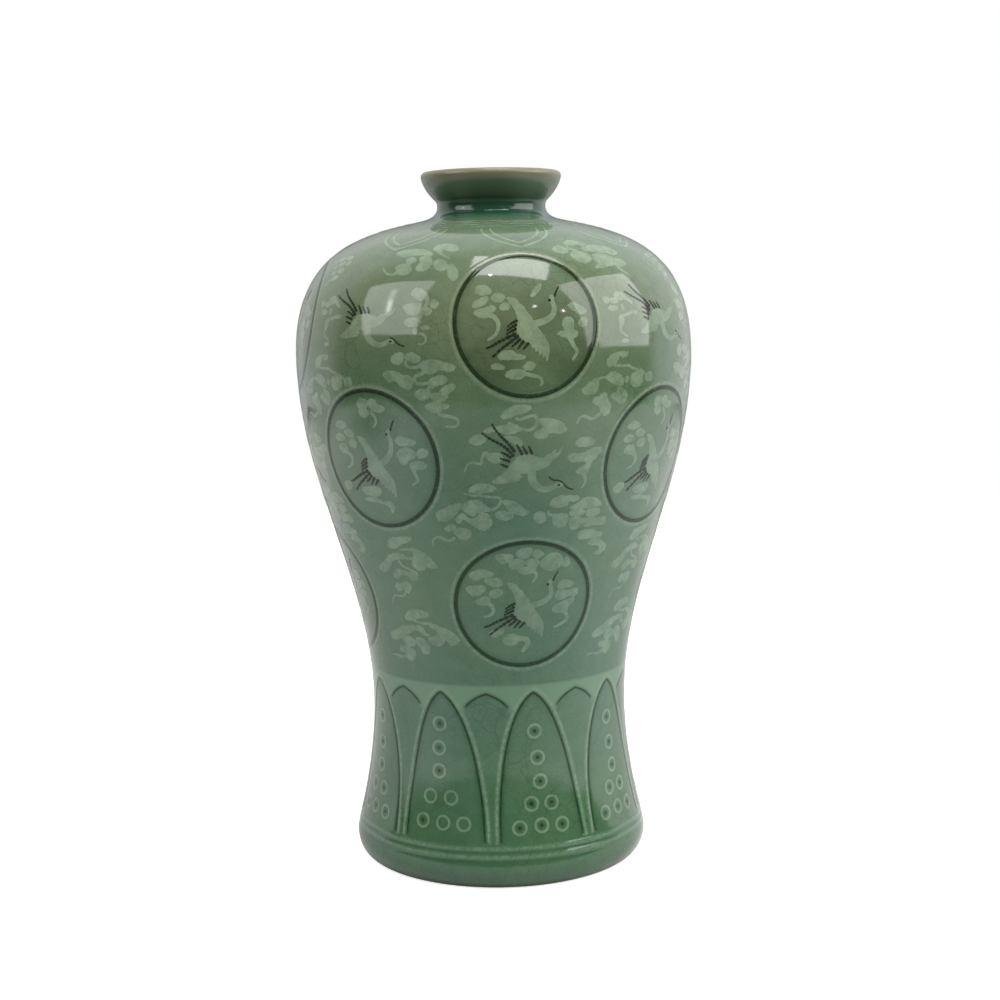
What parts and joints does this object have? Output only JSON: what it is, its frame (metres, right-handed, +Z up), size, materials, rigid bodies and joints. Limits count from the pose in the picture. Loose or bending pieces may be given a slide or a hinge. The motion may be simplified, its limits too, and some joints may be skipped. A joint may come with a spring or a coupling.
{
  "type": "vase",
  "caption": "Celadon prunus vase, high shoulder over a narrow waist, small cupped mouth, inlaid roundels with cranes and clouds above a band of lotus petals.",
  "frame": {"origin": "centre of the foot ring, on the surface that the vase stands on", "axes": "+Z up along the turning axis, -Y the side that the picture shows, +X to its right"},
  "size_m": [0.1722, 0.1722, 0.3],
  "materials": {
    "wall": "glossy crackled celadon glaze",
    "base": "glossy celadon glaze, the foot ring wiped bare",
    "slip": "matt fired slip",
    "dark_line": "dark slip under glossy glaze"
  },
  "bodies": {
    "root": {"base": "base", "base_slip": "slip", "belly_slip": "slip", "lower_body": "wall", "neck_mouth": "wall", "neck_slip": "slip", "petal_line_1": "dark_line", "petal_line_2": "dark_line", "petal_line_3": "dark_line", "petal_line_4": "dark_line", "petal_line_5": "dark_line", "petal_line_6": "dark_line", "petal_line_7": "dark_line", "petal_line_8": "dark_line", "petal_line_9": "dark_line", "petal_tip_line_1": "dark_line", "petal_tip_line_2": "dark_line", "petal_tip_line_3": "dark_line", "petal_tip_line_4": "dark_line", "petal_tip_line_5": "dark_line", "petal_tip_line_6": "dark_line", "petal_tip_line_7": "dark_line", "petal_tip_line_8": "dark_line", "petal_tip_line_9": "dark_line", "roundel_lower_1": "dark_line", "roundel_lower_2": "dark_line", "roundel_lower_3": "dark_line", "roundel_lower_4": "dark_line", "roundel_middle_1": "dark_line", "roundel_middle_2": "dark_line", "roundel_middle_3": "dark_line", "roundel_middle_4": "dark_line", "roundel_upper_1": "dark_line", "roundel_upper_2": "dark_line", "roundel_upper_3": "dark_line", "roundel_upper_4": "dark_line", "upper_body": "wall"}
  },
  "joints": []
}
